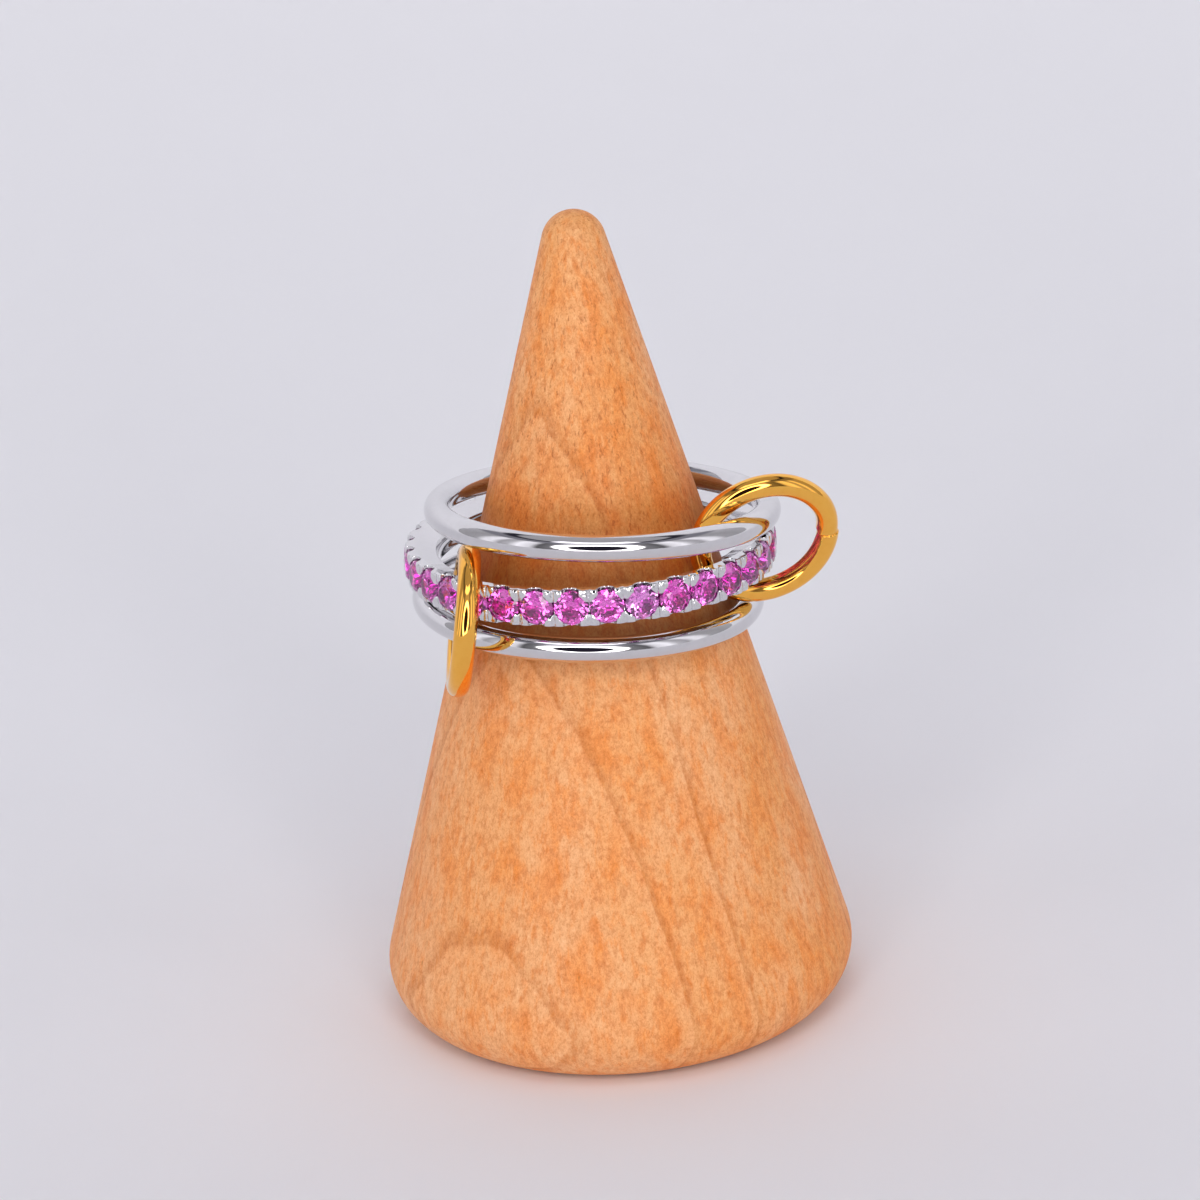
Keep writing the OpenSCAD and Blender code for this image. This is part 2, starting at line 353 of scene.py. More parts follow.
def wire_band_tree():
    """A round wire bent to a circle and closed."""
    tree, given, out = new_group(
        "wire_band",
        "GeometryNodeTree",
        [
            ("Geometry", "NodeSocketGeometry", None),
            ("Circle Radius", "NodeSocketFloat", 9.0),
            ("Wire Radius", "NodeSocketFloat", 0.7),
            ("Steps Around", "NodeSocketInt", 256),
            ("Steps Across", "NodeSocketInt", 40),
            ("Material", "NodeSocketMaterial", None),
        ],
        [("Geometry", "NodeSocketGeometry")],
    )
    circle = "GeometryNodeCurvePrimitiveCircle"
    path = node(tree, circle, {"Resolution": given["Steps Around"], "Radius": given["Circle Radius"]})
    round_wire = node(tree, circle, {"Resolution": given["Steps Across"], "Radius": given["Wire Radius"]})
    wire = node(
        tree,
        "GeometryNodeCurveToMesh",
        {"Curve": path.outputs["Curve"], "Profile Curve": round_wire.outputs["Curve"]},
    )
    smooth = node(tree, "GeometryNodeSetShadeSmooth", {"Geometry": wire.outputs["Mesh"]})
    whole = node(tree, "GeometryNodeRealizeInstances", {"Geometry": smooth.outputs["Geometry"]})
    done = node(
        tree,
        "GeometryNodeSetMaterial",
        {"Geometry": whole.outputs["Geometry"], "Material": given["Material"]},
    )
    tree.links.new(done.outputs["Geometry"], out.inputs["Geometry"])
    return tree


def evaluated_mesh(piece):
    """The piece's mesh with its modifiers worked in; the modifiers come off."""
    evaluated = piece.evaluated_get(bpy.context.evaluated_depsgraph_get())
    mesh = bpy.data.meshes.new_from_object(evaluated)
    piece.modifiers.clear()
    return mesh


def grown(name, start, tree, values):
    """A plain mesh grown by a geometry tree from a starting mesh."""
    piece = bpy.data.objects.new(name, start)
    bpy.context.scene.collection.objects.link(piece)
    modifier = piece.modifiers.new("grown", "NODES")
    modifier.node_group = tree
    for item in tree.interface.items_tree:
        if item.item_type == "SOCKET" and item.in_out == "INPUT" and item.name in values:
            modifier[item.identifier] = values[item.name]
    piece.data = evaluated_mesh(piece)
    return piece


wire_band = wire_band_tree()
wire_sizes = {"Circle Radius": ring_inner_r + wire_r, "Wire Radius": wire_r, "Material": silver}
for band_name, cad_name, place in (
    ("band_top_wire", "band_top", top_place),
    ("band_bottom_wire", "band_bottom", bottom_place),
):
    band = grown(band_name, bpy.data.meshes.new(band_name), wire_band, wire_sizes)
    settle(band, band_frame(*place))
    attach(band, "root")
    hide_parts(cad_name)

# Stone-set band.
# One casting of the same white metal. Its side walls slant out from a rounded bore to
# a straight rim, which is scalloped under each stone, and a groove parts each pair of prongs.
set_half_w = 2.12 / 2
bore_half_w = 0.64
knee_r = 9.85
bore_flare = 0.21
set_outer_r = 10.42
channel_half_w = 0.36
channel_floor_r = 10.0
scallop_r = 0.48
split_r = 0.11
prong_drop = 0.06
prong_lap = 0.08
seat_gap = 0.03
stone_count = 33
stone_r = 1.9 / 2
stone_seat_r = 10.2
pavilion_h = 0.79
girdle_h = 0.05
set_place = (-0.22, -0.12, 27.41, -1.1, 0.3)
set_turn = radians(-151.5)
half_step = pi / stone_count
wall_round = 0.11
rim_round = 0.05
bore_edge_r = ring_inner_r + bore_flare
wall_slope = (set_half_w - bore_half_w) / (knee_r - bore_edge_r)


def solid(name, rings, closed_ends=True):
    """A solid from rings of points, each joined to the next, with flat ends."""
    size = len(rings[0])
    points = [p for ring in rings for p in ring]
    faces = []
    for row in range(len(rings) - 1):
        for k in range(size):
            j = (k + 1) % size
            a = row * size
            faces.append((a + k, a + j, a + size + j, a + size + k))
    if closed_ends:
        faces.append(tuple(range(size - 1, -1, -1)))
        faces.append(tuple(range(len(points) - size, len(points))))
    return mesh_object(name, points, faces)


def bore_r(h):
    """Radius of the rounded bore at a height from the band's middle."""
    return ring_inner_r + bore_flare * (h / bore_half_w) ** 2


def bore_and_edge():
    """Half of the bore as (radius, height), and its edge eased into the side wall."""
    ease = 0.05
    steps = 6
    last = bore_half_w - ease
    before = Vector((bore_r(last), last))
    edge = Vector((bore_edge_r, bore_half_w))
    after = edge + ease * Vector((1, wall_slope))
    bore = [(bore_r(last * k / steps), last * k / steps) for k in range(steps)]
    bend = [before.lerp(edge, k / 4).lerp(edge.lerp(after, k / 4), k / 4) for k in range(5)]
    return bore + [tuple(p) for p in bend]


def quarter_blank():
    """A quarter of one stone's share of the band, with one domed prong on its outer face."""
    prong_aside = 0.68
    prong_half_w = 0.25
    prong_half_h = 0.36
    prong_turn = prong_aside / set_outer_r
    prong_h = (channel_half_w + set_half_w) / 2
    heights = [channel_half_w + (set_half_w - channel_half_w) * k / 10 for k in range(11)]
    inside = bore_and_edge() + [(knee_r, set_half_w)]
    least_r = knee_r + 0.06
    steps = 14
    rings = []
    for k in range(steps + 1):
        a = half_step * k / steps
        aside = (a - prong_turn) * set_outer_r / prong_half_w
        outside = []
        for h in reversed(heights):
            above = (h - prong_h) / prong_half_h
            top = set_outer_r - prong_drop * (aside ** 2 + above ** 2)
            corner = max(0.0, h - set_half_w + wall_round)
            top -= wall_round - sqrt(max(0.0, wall_round ** 2 - corner ** 2))
            outside.append((max(top, least_r), h))
        outline = inside + outside + [(channel_floor_r, channel_half_w), (channel_floor_r, 0)]
        rings.append([(r * cos(a), r * sin(a), h) for r, h in outline])
    return solid("quarter_blank", rings)


def seat_cutter():
    """The space of one stone: cone below, girdle groove, and the flared opening between prongs."""
    opening = stone_r - prong_lap
    top = set_outer_r - stone_seat_r
    point_r = 0.08
    groove_top = girdle_h + 0.09
    outline = [
        (0, -pavilion_h - 2 * seat_gap),
        (point_r, -pavilion_h - 2 * seat_gap),
        (stone_r + seat_gap, -seat_gap),
        (stone_r + seat_gap, girdle_h),
        (opening, groove_top),
    ]
    outline += arc(opening + rim_round, top - rim_round, rim_round, 180, 90, 5)
    outline += [(opening + rim_round, 1), (0, 1)]
    made = turned("seat_cutter", outline, 64)
    made.data.transform(Matrix.Translation((stone_seat_r, 0, 0)) @ Matrix.Rotation(pi / 2, 4, "Y"))
    return made


def scallop_cutter():
    """The hollow filed across the side walls, its rims flared at the wall and at the top."""
    rings = []
    stations = [(-0.1, 0.0), (set_half_w - rim_round, 0.0)]
    stations += [(set_half_w - rim_round * cos(a), rim_round * (1 - sin(a))) for a in (1.2, 0.8, 0.4)]
    stations += [(set_half_w, rim_round), (set_half_w + 0.3, rim_round)]
    for h, flare in stations:
        r = scallop_r + flare
        hollow = arc(0, 0, r, -180, 0, 36)[1:-1]
        shoulder = arc(r + rim_round, -rim_round, rim_round, 180, 90, 4)
        high = [(r + rim_round, 0.5), (-r - rim_round, 0.5)]
        left = [(-y, x) for y, x in reversed(shoulder)]
        section = [p for p in hollow if p[1] < -rim_round - 0.01]
        section += shoulder + high + left
        rings.append([(set_outer_r + x, y, h) for y, x in section])
    return solid("scallop_cutter", rings)


def groove_cutter():
    """The round groove that splits a pillar into two prongs, its lips eased."""
    lip = 0.03
    section = arc(0, 0, split_r, -160, -20, 12)
    section += [(split_r + 0.3 * lip, -0.5 * lip), (split_r + lip, 0.3), (-split_r - lip, 0.3)]
    section += [(-split_r - 0.3 * lip, -0.5 * lip)]
    rings = []
    for h in (-0.2, set_half_w + 0.3):
        rings.append([(set_outer_r + x, y, h) for y, x in section])
    made = solid("groove_cutter", rings)
    made.data.transform(Matrix.Rotation(half_step, 4, "Z"))
    return made


def carve(blank, cutters):
    """Cuts each cutter from the blank in turn, and removes it."""
    for cutter in cutters:
        cut = blank.modifiers.new(cutter.name, "BOOLEAN")
        cut.object = cutter
        cut.operation = "DIFFERENCE"
        cut.solver = "EXACT"
        blank.data = evaluated_mesh(blank)
        bpy.data.objects.remove(cutter)


def doubled(shell, axis):
    """Adds the mirror image across a plane through the origin, and welds the two."""
    copy = bmesh.ops.duplicate(shell, geom=shell.verts[:] + shell.edges[:] + shell.faces[:])["geom"]
    factors = Vector((1, 1, 1))
    factors[axis] = -1
    verts = [g for g in copy if isinstance(g, bmesh.types.BMVert)]
    faces = [g for g in copy if isinstance(g, bmesh.types.BMFace)]
    bmesh.ops.scale(shell, vec=factors, verts=verts)
    bmesh.ops.reverse_faces(shell, faces=faces)
    bmesh.ops.remove_doubles(shell, verts=shell.verts[:], dist=0.0005)


def one_share():
    """The metal round one stone, open where it meets its neighbours."""
    blank = quarter_blank()
    carve(blank, [seat_cutter(), scallop_cutter(), groove_cutter()])
    shell = bmesh.new()
    shell.from_mesh(blank.data)
    close = 0.0005
    end = Vector((-sin(half_step), cos(half_step), 0))
    for plane in (Vector((0, 1, 0)), Vector((0, 0, 1)), end):
        flat = [f for f in shell.faces if all(abs(v.co.dot(plane)) < close for v in f.verts)]
        bmesh.ops.delete(shell, geom=flat, context="FACES")
    doubled(shell, 1)
    doubled(shell, 2)
    bmesh.ops.dissolve_degenerate(shell, dist=close, edges=shell.edges[:])
    mesh = blank.data
    shell.to_mesh(mesh)
    shell.free()
    bpy.data.objects.remove(blank)
    return mesh


def row_tree():
    """A row of like things round a band, each turned to face outwards."""
    tree, given, out = new_group(
        "row_round_band",
        "GeometryNodeTree",
        [
            ("Geometry", "NodeSocketGeometry", None),
            ("Count", "NodeSocketInt", 33),
            ("First Angle", "NodeSocketFloat", 0.0),
            ("Distance", "NodeSocketFloat", 0.0),
            ("Spin", "NodeSocketFloat", 0.0),
            ("Lean", "NodeSocketFloat", 0.0),
            ("Seed", "NodeSocketInt", 0),
            ("Weld", "NodeSocketFloat", 0.001),
            ("Material", "NodeSocketMaterial", None),
        ],
        [("Geometry", "NodeSocketGeometry")],
    )
    index = node(tree, "GeometryNodeInputIndex").outputs[0]
    step = maths(tree, "DIVIDE", 2 * pi, given["Count"])
    angle = maths(tree, "ADD", given["First Angle"], maths(tree, "MULTIPLY", index, step))
    where = node(
        tree,
        "ShaderNodeCombineXYZ",
        {
            0: maths(tree, "MULTIPLY", given["Distance"], maths(tree, "COSINE", angle)),
            1: maths(tree, "MULTIPLY", given["Distance"], maths(tree, "SINE", angle)),
        },
    )
    points = node(tree, "GeometryNodePoints", {"Count": given["Count"], "Position": where.outputs[0]})
    facing = node(tree, "ShaderNodeCombineXYZ", {2: angle}).outputs[0]
    row = node(
        tree,
        "GeometryNodeInstanceOnPoints",
        {
            "Points": points.outputs[0],
            "Instance": given["Geometry"],
            "Rotation": node(tree, "FunctionNodeEulerToRotation", {0: facing}).outputs[0],
        },
    ).outputs[0]

    def chance(seed, low, high):
        """A random number for each thing in the row."""
        seeds = maths(tree, "ADD", given["Seed"], seed)
        made = node(tree, "FunctionNodeRandomValue", {2: low, 3: high, 8: seeds}, data_type="FLOAT")
        return made.outputs[1]

    lean_back = maths(tree, "MULTIPLY", given["Lean"], -1.0)
    turn = node(
        tree,
        "ShaderNodeCombineXYZ",
        {
            0: chance(1, 0.0, given["Spin"]),
            1: chance(2, lean_back, given["Lean"]),
            2: chance(3, lean_back, given["Lean"]),
        },
    ).outputs[0]
    rotation = node(tree, "FunctionNodeEulerToRotation", {0: turn}).outputs[0]
    row = node(tree, "GeometryNodeRotateInstances", {"Instances": row, "Rotation": rotation}).outputs[0]
    toned = node(
        tree,
        "GeometryNodeStoreNamedAttribute",
        {"Geometry": row, "Name": "tone", "Value": chance(4, 0.0, 1.0)},
        data_type="FLOAT",
        domain="INSTANCE",
    )
    whole = node(tree, "GeometryNodeRealizeInstances", {"Geometry": toned.outputs[0]})
    joined = {"Geometry": whole.outputs[0], "Distance": given["Weld"]}
    welded = node(tree, "GeometryNodeMergeByDistance", joined)
    done = node(
        tree,
        "GeometryNodeSetMaterial",
        {"Geometry": welded.outputs[0], "Material": given["Material"]},
    )
    tree.links.new(done.outputs[0], out.inputs["Geometry"])
    return tree


def true_walls(mesh, place):
    """Gives the rim, the side walls and the bore their exact normals, so that they mirror cleanly."""
    close = 0.003
    lean = atan(wall_slope)
    to_band = place.inverted() @ Matrix.Scale(1 / MM, 4)
    turned_to = place.to_3x3()
    spots = [to_band @ v.co for v in mesh.vertices]
    radii = [p.xy.length for p in spots]
    on_rim = [abs(set_half_w - abs(p.z)) < close for p in spots]
    on_wall = [
        abs(bore_half_w + wall_slope * (r - bore_edge_r) - abs(p.z)) < close for p, r in zip(spots, radii)
    ]
    on_bore = [abs(bore_r(p.z) - r) < close and abs(p.z) < bore_half_w for p, r in zip(spots, radii)]
    normals = [tuple(corner.vector) for corner in mesh.corner_normals]
    for face in mesh.polygons:
        rim, wall, bore = [all(on[v] for v in face.vertices) for on in (on_rim, on_wall, on_bore)]
        if not (rim or wall or bore):
            continue
        for corner in face.loop_indices:
            vertex = mesh.loops[corner].vertex_index
            spot = spots[vertex]
            out = Vector((spot.x, spot.y, 0)).normalized()
            side = 1 if spot.z > 0 else -1
            if rim:
                normal = Vector((0, 0, side))
            elif wall:
                normal = Vector((0, 0, side * cos(lean))) - out * sin(lean)
            else:
                normal = Vector((0, 0, 2 * bore_flare * spot.z / bore_half_w ** 2)) - out
            normals[corner] = tuple(turned_to @ normal.normalized())
    mesh.normals_split_custom_set(normals)


def roughen_prongs(mesh, place, material):
    """Gives the faces of the prongs, between the rims, the less even metal that the setting leaves."""
    least_r = channel_floor_r
    rim = set_half_w - 0.02
    to_band = place.inverted() @ Matrix.Scale(1 / MM, 4)
    spots = [to_band @ v.co for v in mesh.vertices]
    outer = [p.xy.length > least_r and abs(p.z) < rim for p in spots]
    mesh.materials.append(material)
    for face in mesh.polygons:
        if all(outer[v] for v in face.vertices):
            face.material_index = len(mesh.materials) - 1


row_round_band = row_tree()
set_band = grown(
    "band_pave_cast",
    one_share(),
    row_round_band,
    {"Count": stone_count, "First Angle": set_turn, "Material": silver},
)
set_band.data.set_sharp_from_angle(angle=radians(38))
settle(set_band, band_frame(*set_place))
even = set_band.modifiers.new("even_shading", "WEIGHTED_NORMAL")
even.keep_sharp = True
set_band.data = evaluated_mesh(set_band)
true_walls(set_band.data, band_frame(*set_place))
worked_silver = polished_metal(
    "worked_white_metal", (0.75, 0.74, 0.755), (0.50, 0.49, 0.50), 1.5, 0.6, 0.06, fineness=5.0
)
roughen_prongs(set_band.data, band_frame(*set_place), worked_silver)
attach(set_band, "root")
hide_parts("band_pave")

# Pink stones.
# Round brilliants, one in each seat: a table, eight stars, eight kites and sixteen
# upper halves above the girdle, and sixteen lower halves and eight mains below.
crown_h = 0.31
table_share = 0.57


def brilliant():
    """One stone, cut facet by facet from a round blank whose axis points along X."""
    around = 64
    half_girdle = girdle_h / 2
    blank = bmesh.new()
    bmesh.ops.create_cone(
        blank, cap_ends=True, segments=around, radius1=stone_r, radius2=stone_r, depth=2 * pavilion_h
    )

    def cut(turn, slope, distance, height):
        """Grinds off what lies beyond a plane through a point at that distance and height."""
        side = -1 if height < 0 else 1
        out = Vector((cos(turn), sin(turn), 0))
        normal = out * sin(slope) + Vector((0, 0, side * cos(slope)))
        bmesh.ops.bisect_plane(
            blank,
            geom=blank.verts[:] + blank.edges[:] + blank.faces[:],
            dist=0.00002,
            plane_co=out * distance + Vector((0, 0, height)),
            plane_no=normal,
            clear_outer=True,
        )
        open_edges = [e for e in blank.edges if e.is_boundary]
        if open_edges:
            bmesh.ops.edgeloop_fill(blank, edges=open_edges)

    eighth = pi / 4
    chord = cos(pi / 16)
    crown_slope = atan((crown_h - half_girdle) / (stone_r * (1 - table_share)))
    pavilion_slope = atan((pavilion_h - half_girdle) / stone_r)
    star_slope, upper_slope, lower_slope = radians(22), radians(42), radians(40.9)
    cut(0, 0, 0, crown_h)
    for k in range(8):
        cut(k * eighth, crown_slope, stone_r, half_girdle)
        cut(k * eighth, pavilion_slope, stone_r, -half_girdle)
        cut((k + 0.5) * eighth, star_slope, table_share * stone_r * cos(eighth / 2), crown_h)
    for k in range(16):
        cut((k + 0.5) * eighth / 2, upper_slope, stone_r * chord, half_girdle)
        cut((k + 0.5) * eighth / 2, lower_slope, stone_r * chord, -half_girdle)
    bmesh.ops.dissolve_degenerate(blank, dist=0.0002, edges=blank.edges[:])
    bmesh.ops.transform(blank, matrix=Matrix.Rotation(pi / 2, 4, "Y"), verts=blank.verts[:])
    bmesh.ops.recalc_face_normals(blank, faces=blank.faces[:])
    mesh = bpy.data.meshes.new("brilliant")
    blank.to_mesh(mesh)
    blank.free()
    return mesh


def stone_material():
    """Clear pink stone: some stones are paler and some deeper, and each is faintly clouded."""
    material, tree, surface = new_material("pink_brilliant")
    tone = node(tree, "ShaderNodeAttribute", attribute_name="tone").outputs["Fac"]
    clouds = noise(tree, in_mm(tree), 1.3, 2.0, 0.5)
    pink = ramp(tree, tone, [(0.0, (1.0, 0.38, 0.93)), (0.55, (1.0, 0.17, 0.80)), (1.0, (1.0, 0.09, 0.66))])
    pink = mixed(tree, ramp(tree, clouds, [(0.35, 0.0), (0.75, 0.3)]), pink, (1.0, 0.40, 0.92, 1))
    tree.links.new(pink, surface.inputs["Base Color"])
    surface.inputs["Roughness"].default_value = 0.0
    surface.inputs["IOR"].default_value = 1.76
    surface.inputs["Transmission Weight"].default_value = 0.95
    surface.inputs["Specular IOR Level"].default_value = 0.4
    return material


stones = grown(
    "stones_pink_brilliant",
    brilliant(),
    row_round_band,
    {
        "Count": stone_count,
        "First Angle": set_turn,
        "Distance": stone_seat_r,
        "Spin": pi,
        "Lean": radians(1.2),
        "Seed": 7,
        "Weld": 0.0001,
        "Material": stone_material(),
    },
)
settle(stones, band_frame(*set_place))
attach(stones, "root")
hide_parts(*[f"stone_{k + 1:02d}" for k in range(stone_count)])

# Links.
# Two closed rings of round yellow-metal wire whose inner side is pressed flat. Each is
# closed round two bands and soldered, and the right one shows its joint.
link_outer_r = 8.54 / 2
link_wire_r = 1.26 / 2
link_t = 1.16
link_ease = 0.06
right_place = (9.42, -4.47, 28.86, -77.8, -19.4)
left_place = (-7.42, -6.79, 26.08, 1.2, -9.5)
seam_angle = radians(90)


def link_frame(x, y, z, bearing, rise):
    """A link's place: its axis is Z before it is turned to its bearing and rise."""
    turn = Matrix.Rotation(radians(bearing), 4, "Z") @ Matrix.Rotation(radians(90 - rise), 4, "Y")
    return Matrix.Translation((x, y, z)) @ turn


def link_section():
    """The wire's outline as (radius, height): a round wire with its inner side pressed flat."""
    wire_centre = link_outer_r - link_wire_r
    inner = link_outer_r - link_t
    corner = degrees(acos((inner + link_ease - wire_centre) / link_wire_r))
    flat_half = link_wire_r * sin(acos((inner - wire_centre) / link_wire_r)) - link_ease
    round_side = arc(wire_centre, 0, link_wire_r, -corner, corner, 46)
    return [(inner, -flat_half)] + round_side + [(inner, flat_half)]


def wire_link(name, seam=None):
    """A closed link; at the seam the two ends meet in a fine groove, one a little proud."""
    around = 240
    section = link_section()
    centre_r = link_outer_r - link_t / 2
    groove_w = radians(0.9)
    groove_depth = 0.07
    step_out = 0.08
    step_fade = radians(32)
    near_seam = radians(1.2)
    turns = [2 * pi * k / around for k in range(around)]
    if seam is not None:
        steps = (0.15, 0.35, 0.55, 0.8, 1.1)
        near = [seam] + [seam + radians(side * d) for d in steps for side in (-1, 1)]
        turns = sorted([a for a in turns if abs(a - seam) > near_seam] + near)
    rings = []
    for a in turns:
        sunk, shift = 0.0, 0.0
        if seam is not None:
            off = a - seam
            sunk = groove_depth * max(0.0, 1 - (off / groove_w) ** 2)
            fade = max(0.0, 1 - abs(off) / step_fade)
            shift = -step_out * fade ** 2 if off > 0 else 0.0
        ring = []
        for r, h in section:
            shrink = 1 - sunk / link_wire_r
            rr = centre_r + (r - centre_r) * shrink + shift
            ring.append((rr * cos(a), rr * sin(a), h * shrink))
        rings.append(ring)
    rings.append(rings[0])
    made = solid(name, rings, closed_ends=False)
    shell = bmesh.new()
    shell.from_mesh(made.data)
    bmesh.ops.remove_doubles(shell, verts=shell.verts[:], dist=0.0005)
    bmesh.ops.recalc_face_normals(shell, faces=shell.faces[:])
    shell.to_mesh(made.data)
    shell.free()
    made.data.set_sharp_from_angle(angle=radians(40))
    return made


gold = polished_metal("polished_yellow_metal", (1.0, 0.52, 0.095), (0.92, 0.42, 0.06), 0.16, 0.35, 0.05)
for link_name, cad_name, place, seam in (
    ("link_right_wire", "link_right", right_place, seam_angle),
    ("link_left_wire", "link_left", left_place, None),
):
    link = wire_link(link_name, seam)
    settle(link, link_frame(*place))
    link.data.materials.append(gold)
    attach(link, "root")
    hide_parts(cad_name)

# Floor.
# A seamless sheet of pale matt board, its sizes in metres. The cone stands on its
# flat part, and behind the cone the sheet sweeps up.
floor_half = 3.0
sweep_start = 0.08
sweep_r = 0.8
sweep_end = radians(70)


def floor_material():
    """Matt board with a faint tooth."""
    material, tree, surface = new_material("pale_board")
    tooth = noise(tree, in_mm(tree), 0.02, 3.0)
    colour = mixed(tree, tooth, (0.85, 0.855, 0.885, 1), (0.87, 0.875, 0.905, 1))
    tree.links.new(colour, surface.inputs["Base Color"])
    surface.inputs["Roughness"].default_value = 0.85
    surface.inputs["Specular IOR Level"].default_value = 0.2
    return material


cells = 48
span = [floor_half * (2 * k / cells - 1) for k in range(cells + 1)]
floor_points = []
for y in span:
    rise = max(0.0, y - sweep_start)
    bend = min(rise / sweep_r, sweep_end)
    back = sweep_r * sin(bend) + max(0.0, rise - sweep_r * bend) * cos(bend)
    up = sweep_r * (1 - cos(bend)) + max(0.0, rise - sweep_r * bend) * sin(bend)
    floor_points += [(x, min(y, sweep_start) + back, up) for x in span]
floor_faces = []
for row in range(cells):
    for k in range(cells):
        a = row * (cells + 1) + k
        floor_faces.append((a, a + 1, a + cells + 2, a + cells + 1))
floor = mesh_object("floor", floor_points, floor_faces)
if floor.data.polygons[0].normal.z < 0:
    floor.data.flip_normals()
floor.data.materials.append(floor_material())

# Light tent.
# White cloth walls and ceiling all round, open towards the camera, where a ring
# lamp stands round the lens. The metal shows it, so it is drawn by direction.


def patch_group():
    """A soft-edged patch of the tent, by bearing and height in degrees."""
    tree, given, out = new_group(
        "tent_patch",
        "ShaderNodeTree",
        [
            ("Bearing", "NodeSocketFloat", 0.0),
            ("Height", "NodeSocketFloat", 0.0),
            ("Low", "NodeSocketFloat", 0.0),
            ("High", "NodeSocketFloat", 0.0),
            ("Near", "NodeSocketFloat", 0.0),
            ("Far", "NodeSocketFloat", 0.0),
            ("Edge", "NodeSocketFloat", 3.0),
        ],
        [("Mask", "NodeSocketFloat")],
    )

    def inside(value, low, high):
        """1 between two limits, falling softly to 0 past them."""
        rise = maths(tree, "DIVIDE", maths(tree, "SUBTRACT", value, low), given["Edge"])
        fall = maths(tree, "DIVIDE", maths(tree, "SUBTRACT", high, value), given["Edge"])
        narrow = maths(tree, "MINIMUM", rise, fall)
        return node(
            tree, "ShaderNodeMapRange", {"Value": narrow, 1: -0.5, 2: 0.5}, interpolation_type="SMOOTHSTEP"
        ).outputs[0]

    across = inside(given["Bearing"], given["Near"], given["Far"])
    up = inside(given["Height"], given["Low"], given["High"])
    tree.links.new(maths(tree, "MULTIPLY", across, up), out.inputs["Mask"])
    return tree


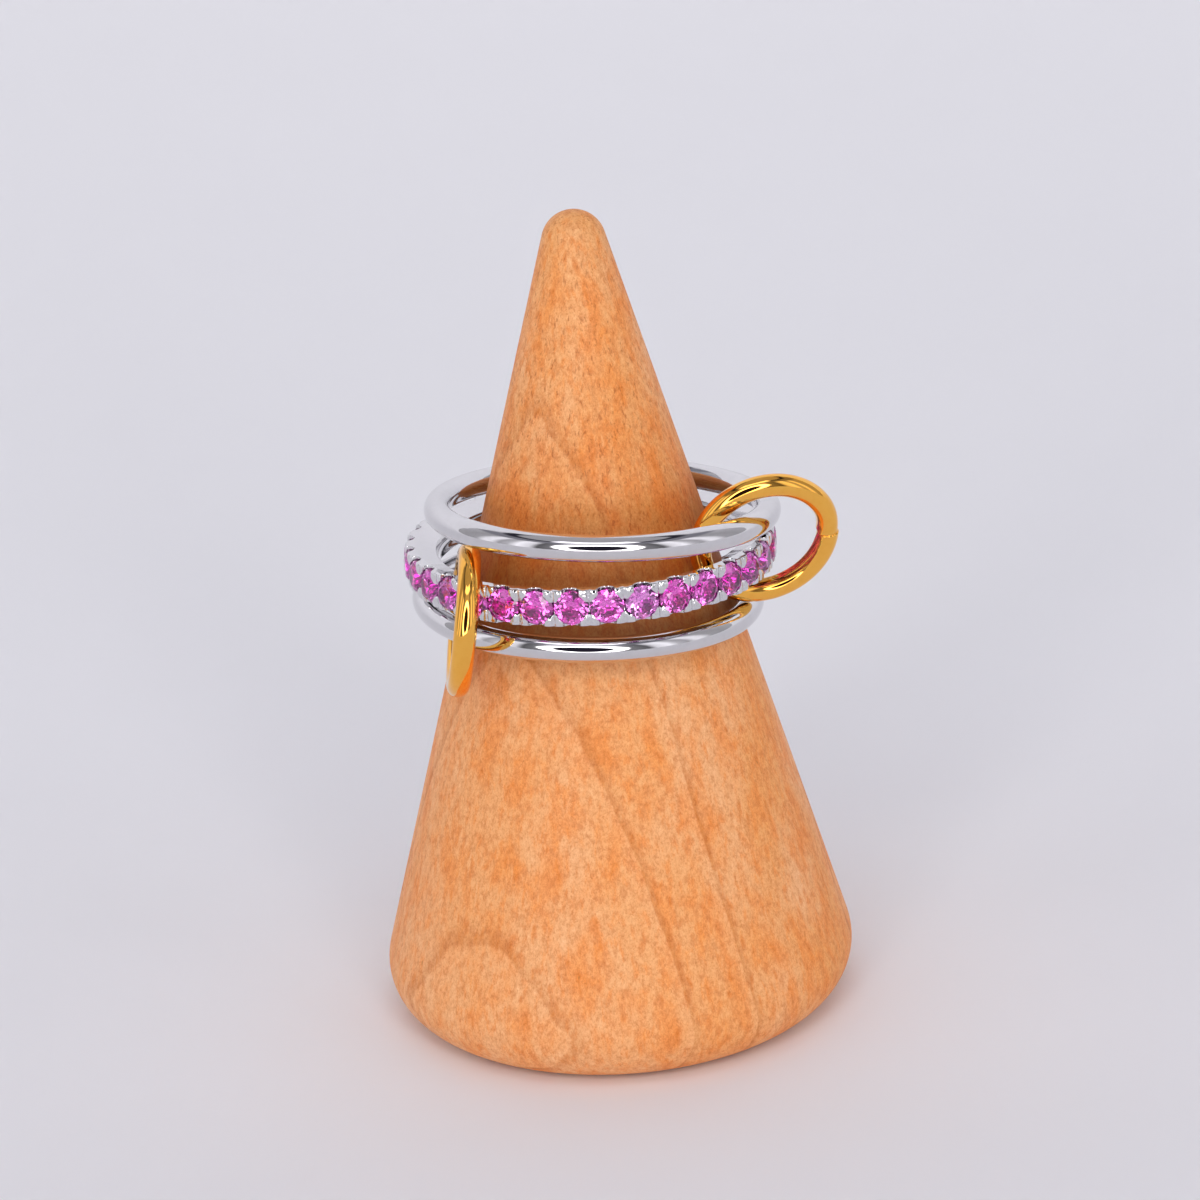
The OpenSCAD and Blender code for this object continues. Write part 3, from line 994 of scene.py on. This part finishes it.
def light_tent():
    """The world: the tent's cloth and its ring lamp, as each direction shows them."""
    in_degrees = 180 / pi
    lamp_bearing, lamp_height = radians(-3), radians(21)
    lamp_inner, lamp_outer, lamp_edge = 19.5, 28.0, 2.0
    world = bpy.data.worlds.new("light_tent")
    world.use_nodes = True
    tree = world.node_tree
    tree.nodes.clear()
    direction = node(tree, "ShaderNodeTexCoord").outputs["Generated"]
    x, y, z = node(tree, "ShaderNodeSeparateXYZ", {0: direction}).outputs
    bearing = maths(tree, "ARCTAN2", x, maths(tree, "MULTIPLY", y, -1.0))
    bearing = maths(tree, "MULTIPLY", bearing, in_degrees)
    aside = maths(tree, "ABSOLUTE", maths(tree, "ADD", bearing, 2.0))
    height = maths(tree, "MULTIPLY", maths(tree, "ARCSINE", z), in_degrees)

    # Grey levels of the cloth from the opening, round the side, to the back
    wall = ramp(
        tree,
        maths(tree, "DIVIDE", aside, 180.0),
        [
            (0.0, 0.34), (33 / 180, 0.24), (41 / 180, 0.13), (46 / 180, 0.95), (55 / 180, 1.30),
            (61 / 180, 0.62), (68 / 180, 0.45), (74 / 180, 1.15), (80 / 180, 1.05), (86 / 180, 0.45),
            (97 / 180, 0.40), (125 / 180, 0.58), (140 / 180, 0.75), (1.0, 0.78),
        ],
    )
    ceiling = ramp(tree, maths(tree, "DIVIDE", aside, 180.0), [(0.0, 0.46), (0.5, 0.42), (1.0, 0.48)])

    # Cloth over the opening, ceiling, the dark seam under it, the grey cloth below the
    # seam, the low side wall and the lit panel overhead
    patch = patch_group()
    light = wall
    for low, high, near, far, edge, tone in (
        (44, 60, -1, 34, 6.0, (0.56, 0.56, 0.58, 1)),
        (58, 200, -300, 300, 6.0, ceiling),
        (56, 63, 36, 150, 3.0, (0.03, 0.03, 0.04, 1)),
        (46, 57, 30, 130, 6.0, (0.24, 0.24, 0.26, 1)),
        (-200, -14, 38, 60, 8.0, (0.5, 0.5, 0.52, 1)),
        (59, 71, -1, 46, 3.0, (2.1, 2.08, 2.1, 1)),
    ):
        given = {"Bearing": aside, "Height": height, "Low": low, "High": high}
        given.update({"Near": near, "Far": far, "Edge": edge})
        mask = node(tree, "ShaderNodeGroup", given, node_tree=patch).outputs["Mask"]
        light = mixed(tree, mask, light, tone)
    light = mixed(tree, 1.0, light, (1.0, 0.985, 1.05, 1), "MULTIPLY")

    # The ring lamp, dark in the middle where the lens looks through
    lamp_axis = (
        sin(lamp_bearing) * cos(lamp_height),
        -cos(lamp_bearing) * cos(lamp_height),
        sin(lamp_height),
    )
    along = node(tree, "ShaderNodeVectorMath", {0: direction, 1: lamp_axis}, operation="DOT_PRODUCT")
    off = maths(tree, "MULTIPLY", maths(tree, "ARCCOSINE", along.outputs["Value"]), in_degrees)

    def within(limit):
        """1 near the lamp's axis, falling softly to 0 past the limit in degrees."""
        return node(
            tree,
            "ShaderNodeMapRange",
            {"Value": off, 1: limit + lamp_edge, 2: limit - lamp_edge},
            interpolation_type="SMOOTHSTEP",
        ).outputs[0]

    light = mixed(tree, within(lamp_outer), light, (5.2, 5.1, 5.1, 1))
    light = mixed(tree, within(lamp_inner), light, (0.02, 0.018, 0.03, 1))

    # Where the camera sees the cloth itself, it has the pale tone of the board
    seen = node(tree, "ShaderNodeLightPath").outputs["Is Camera Ray"]
    light = mixed(tree, seen, light, (0.76, 0.755, 0.82, 1))
    background = node(tree, "ShaderNodeBackground", {"Color": light})
    node(tree, "ShaderNodeOutputWorld", {"Surface": background.outputs[0]})
    return world


bpy.context.scene.world = light_tent()

# Camera.
# At the photograph's height and distance, turned a little about its own axis.
camera_distance = 220.0
camera_elevation = radians(20.948)
camera_aim_h = 20.0
camera_yaw = radians(0.0385)
camera_pitch = radians(19.904)
camera_roll = radians(3.807)
forward = Vector(
    (sin(camera_yaw) * cos(camera_pitch), cos(camera_yaw) * cos(camera_pitch), -sin(camera_pitch))
)
level_right = Vector((cos(camera_yaw), -sin(camera_yaw), 0))
level_down = forward.cross(level_right)
right = cos(camera_roll) * level_right + sin(camera_roll) * level_down
down = cos(camera_roll) * level_down - sin(camera_roll) * level_right
lens = bpy.data.cameras.new("camera")
lens.sensor_width = 36.0
lens.lens = 115.52
lens.clip_start = 0.01
camera = bpy.data.objects.new("camera", lens)
turn = Matrix((right, -down, -forward)).transposed()
eye = Vector(
    (0, -camera_distance * cos(camera_elevation), camera_distance * sin(camera_elevation) + camera_aim_h)
)
camera.matrix_world = Matrix.Translation(eye * MM) @ turn.to_4x4()
bpy.context.scene.collection.objects.link(camera)
bpy.context.scene.camera = camera
bpy.context.scene.view_settings.view_transform = "Standard"
